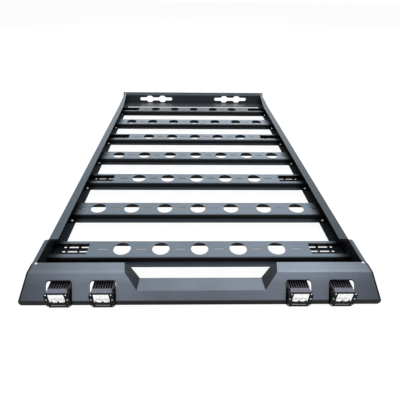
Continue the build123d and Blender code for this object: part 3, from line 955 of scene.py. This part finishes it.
# %% Place the lamps' screws
SCREW_HEAD = 2.3 * MM
SIDE_SCREW_INSET = 6.5 * MM
TOP_SCREW_INSETS = (8.5 * MM, 3 * MM)
LOW_SCREW_INSETS = (5.5 * MM, 8 * MM)
BRACKET_BOLT_HEAD = 4.5 * MM
BRACKET_SHEET = 2.5 * MM

spots = []
for (low, high), (lens_low, lens_high) in zip(faces, windows):
    middle = (low + high) / 2
    half_face = (high.x - low.x) / 2
    insets = (
        (SIDE_SCREW_INSET, (lens_low.z + lens_high.z) / 2),
        (TOP_SCREW_INSETS[0], high.z - TOP_SCREW_INSETS[1]),
        (LOW_SCREW_INSETS[0], low.z + LOW_SCREW_INSETS[1]),
    )
    for side in SIDES:
        for inset, z in insets:
            spots.append((Vector((middle.x + side * (half_face - inset), low.y, z)), FORWARDS))
bolts("lamp_bezel_screws", spots, SCREW_HEAD, stainless, 1.0)

spots = []
for number in LAMPS:
    low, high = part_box(f"lamp_{number}_bracket")
    housing_low, housing_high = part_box(f"lamp_{number}_housing")
    middle = (low + high) / 2
    pivot_z = (housing_low.z + housing_high.z) / 2
    for side, x in ((-1, low.x), (1, high.x)):
        spots.append((Vector((x, middle.y, pivot_z)), side * OUTWARDS))
    spots.append((Vector((middle.x, middle.y, low.z + BRACKET_SHEET)), UP))
bolts("lamp_bracket_bolts", spots, BRACKET_BOLT_HEAD, black_steel, 1.4)

# %% [markdown]
# ## The lenses' bright flanges
#
# Each lens has a thin flange that lies on the bezel around the window. It is moulded in one piece with the
# lens and has the mirror's finish, so it shines as brightly as the window, partly by mirroring and partly
# by the mirror's painted glow. It is widest above the window and narrow at the sides, and it is open at the
# bottom, where the bezel's chin begins. A thin liner inside the window carries the same finish, as painted
# light, back to the lens, over walls that would otherwise lie in shade.

# %% Make the flanges
FLANGE_TOP = 4.2 * MM
FLANGE_SIDE = 2.0 * MM
FLANGE_HEIGHT = 0.6 * MM
FLANGE_START = 8.5 * MM
FLANGE_SLANT = 3 * MM
FLANGE_CORNER = 1.5 * MM
LINER = 0.3 * MM


def close_between(shape, near, far):
    """Closes the space between two outlines that have the same number of corners."""
    near = [shape.verts.new(corner) for corner in near]
    far = [shape.verts.new(corner) for corner in far]
    for index in range(len(near)):
        following = (index + 1) % len(near)
        shape.faces.new((near[index], near[following], far[following], far[index]))
    shape.faces.new(near)
    shape.faces.new(far)


shape = bmesh.new()
for (face_low, _), (lens_low, lens_high) in zip(faces, windows):
    left, right, top = lens_low.x, lens_high.x, lens_high.z
    foot = lens_low.z + FLANGE_START
    outer_left, outer_right = left - FLANGE_SIDE, right + FLANGE_SIDE
    outer_top = top + FLANGE_TOP
    outline = [
        (outer_left, foot + FLANGE_SLANT),
        (left, foot),
        (left, top),
        (right, top),
        (right, foot),
        (outer_right, foot + FLANGE_SLANT),
        (outer_right, outer_top - FLANGE_CORNER),
        (outer_right - FLANGE_CORNER, outer_top),
        (outer_left + FLANGE_CORNER, outer_top),
        (outer_left, outer_top - FLANGE_CORNER),
    ]
    near, far = face_low.y - FLANGE_HEIGHT, lens_high.y
    close_between(shape, [(x, near, z) for x, z in outline], [(x, face_low.y, z) for x, z in outline])
    lay_block(shape, (left, near, foot), (left + LINER, far, top))
    lay_block(shape, (right - LINER, near, foot), (right, far, top))
    lay_block(shape, (left, near, top - LINER), (right, far, top))
# The flanges and liners carry the mirror's painted glow.
finish_shape("lamp_lens_flanges", shape, mirror)

# %% [markdown]
# ## A ridge under each lens
#
# Below its window the bezel has a narrow ridge whose upper side carries a painted grey highlight. A short
# half-round profile that is pushed along X is all that it takes.

# %% Make the bezels' ridges
RIDGE_BELOW_LENS = 8.5 * MM
RIDGE_HEIGHT = 3.0 * MM
RIDGE_DEPTH = 1.9 * MM
RIDGE_STEPS = 8
turns = [math.pi * step / RIDGE_STEPS for step in range(RIDGE_STEPS + 1)]
profile = [(-RIDGE_DEPTH * math.sin(turn), RIDGE_HEIGHT / 2 * math.cos(turn)) for turn in turns]

shape = bmesh.new()
for (face_low, _), (lens_low, lens_high) in zip(faces, windows):
    middle_z = lens_low.z - RIDGE_BELOW_LENS
    outline = [(face_low.y + y, middle_z + z) for y, z in profile]
    left, right = lens_low.x, lens_high.x
    close_between(shape, [(left, y, z) for y, z in outline], [(right, y, z) for y, z in outline])
finish_shape("lamp_bezel_ridges", shape, ridge_grey)

# %% [markdown]
# ## The floor
#
# A studio for such a part has a white floor without a visible end. A floor that is really white would throw
# light up into every dark channel of the rack. So this one is dark grey as far as its light on the rack
# goes, and glows white for the camera, in reflections and through clear things. Its grey share still takes
# the rack's soft shadow.

# %% Lay the floor
FLOOR_SIZE = 30.0
FLOOR_GREY = (0.09, 0.09, 0.09, 1.0)
FLOOR_GLOW = 0.95
floor_shape = bmesh.new()
bmesh.ops.create_grid(floor_shape, x_segments=1, y_segments=1, size=FLOOR_SIZE / 2)
floor_mesh = bpy.data.meshes.new("studio_floor")
floor_shape.to_mesh(floor_mesh)
floor_shape.free()
floor = bpy.data.objects.new("studio_floor", floor_mesh)
floor.location.z = -0.5 * MM
scene.collection.objects.link(floor)

floor_white = bpy.data.materials.new("white_floor")
floor_white.use_nodes = True
tree = floor_white.node_tree
tree.nodes.clear()
path = add_node(tree, "ShaderNodeLightPath").outputs
seen = math_node(tree, "MAXIMUM", path["Is Camera Ray"], path["Is Glossy Ray"])
seen = math_node(tree, "MAXIMUM", seen, path["Is Transmission Ray"])
plain = add_node(tree, "ShaderNodeBsdfDiffuse", {"Color": FLOOR_GREY})
glow = add_node(tree, "ShaderNodeEmission", {"Strength": times(tree, seen, FLOOR_GLOW)})
both = add_node(tree, "ShaderNodeAddShader", {0: plain.outputs["BSDF"], 1: glow.outputs["Emission"]})
add_node(tree, "ShaderNodeOutputMaterial", {"Surface": both.outputs["Shader"]})
floor_mesh.materials.append(floor_white)
print("floor laid")

# %% [markdown]
# ## The lights
#
# One very large soft light hangs over the tail half of the rack, so the decks are bright and the fronts of
# the channels stay dark. A long panel far behind the tail is mirrored in the far decks and gives them their
# sheen, and a weaker light in front keeps the lamps' faces from going black.

# %% Hang the lights


def soft_light(name, place, target, size, power):
    """A rectangular soft light that looks at a point."""
    data = bpy.data.lights.new(name, "AREA")
    data.shape = "RECTANGLE"
    data.size, data.size_y = size
    data.energy = power
    light = bpy.data.objects.new(name, data)
    light.location = place
    light.rotation_euler = (Vector(target) - Vector(place)).to_track_quat("-Z", "Y").to_euler()
    scene.collection.objects.link(light)


soft_light("overhead", (0.4, 2.1, 3.2), (0.4, 2.1, 0), (4.2, 7.0), 225.0)
soft_light("back_panel", (0.9, 6.5, 2.2), (0.9, 0, 2.2), (7.0, 2.8), 140.0)
soft_light("front_fill", (0, -4.5, 2.6), (0, -0.8, 0), (3.0, 2.0), 60.0)
print("lights hung")

# %% [markdown]
# ## The world
#
# The world behind the floor is white for the camera and through clear things, and a little less than white
# in reflections. As a light it is faint, so that it lifts the shadows without washing them out.

# %% Paint the world
WORLD_LIGHT = 0.2
WORLD_MIRRORED = 0.8
WORLD_SEEN = 1.0
world = bpy.data.worlds.new("studio")
scene.world = world
world.use_nodes = True
tree = world.node_tree
tree.nodes.clear()
path = add_node(tree, "ShaderNodeLightPath").outputs
seen = math_node(tree, "MAXIMUM", path["Is Camera Ray"], path["Is Transmission Ray"])
unseen = fade(tree, path["Is Glossy Ray"], ALL, (WORLD_LIGHT, WORLD_MIRRORED))
strength = fade(tree, seen, ALL, (unseen, WORLD_SEEN))
sky = add_node(tree, "ShaderNodeBackground", {"Color": (1.0, 1.0, 1.0, 1.0), "Strength": strength})
add_node(tree, "ShaderNodeOutputWorld", {"Surface": sky.outputs["Background"]})
print("world painted")
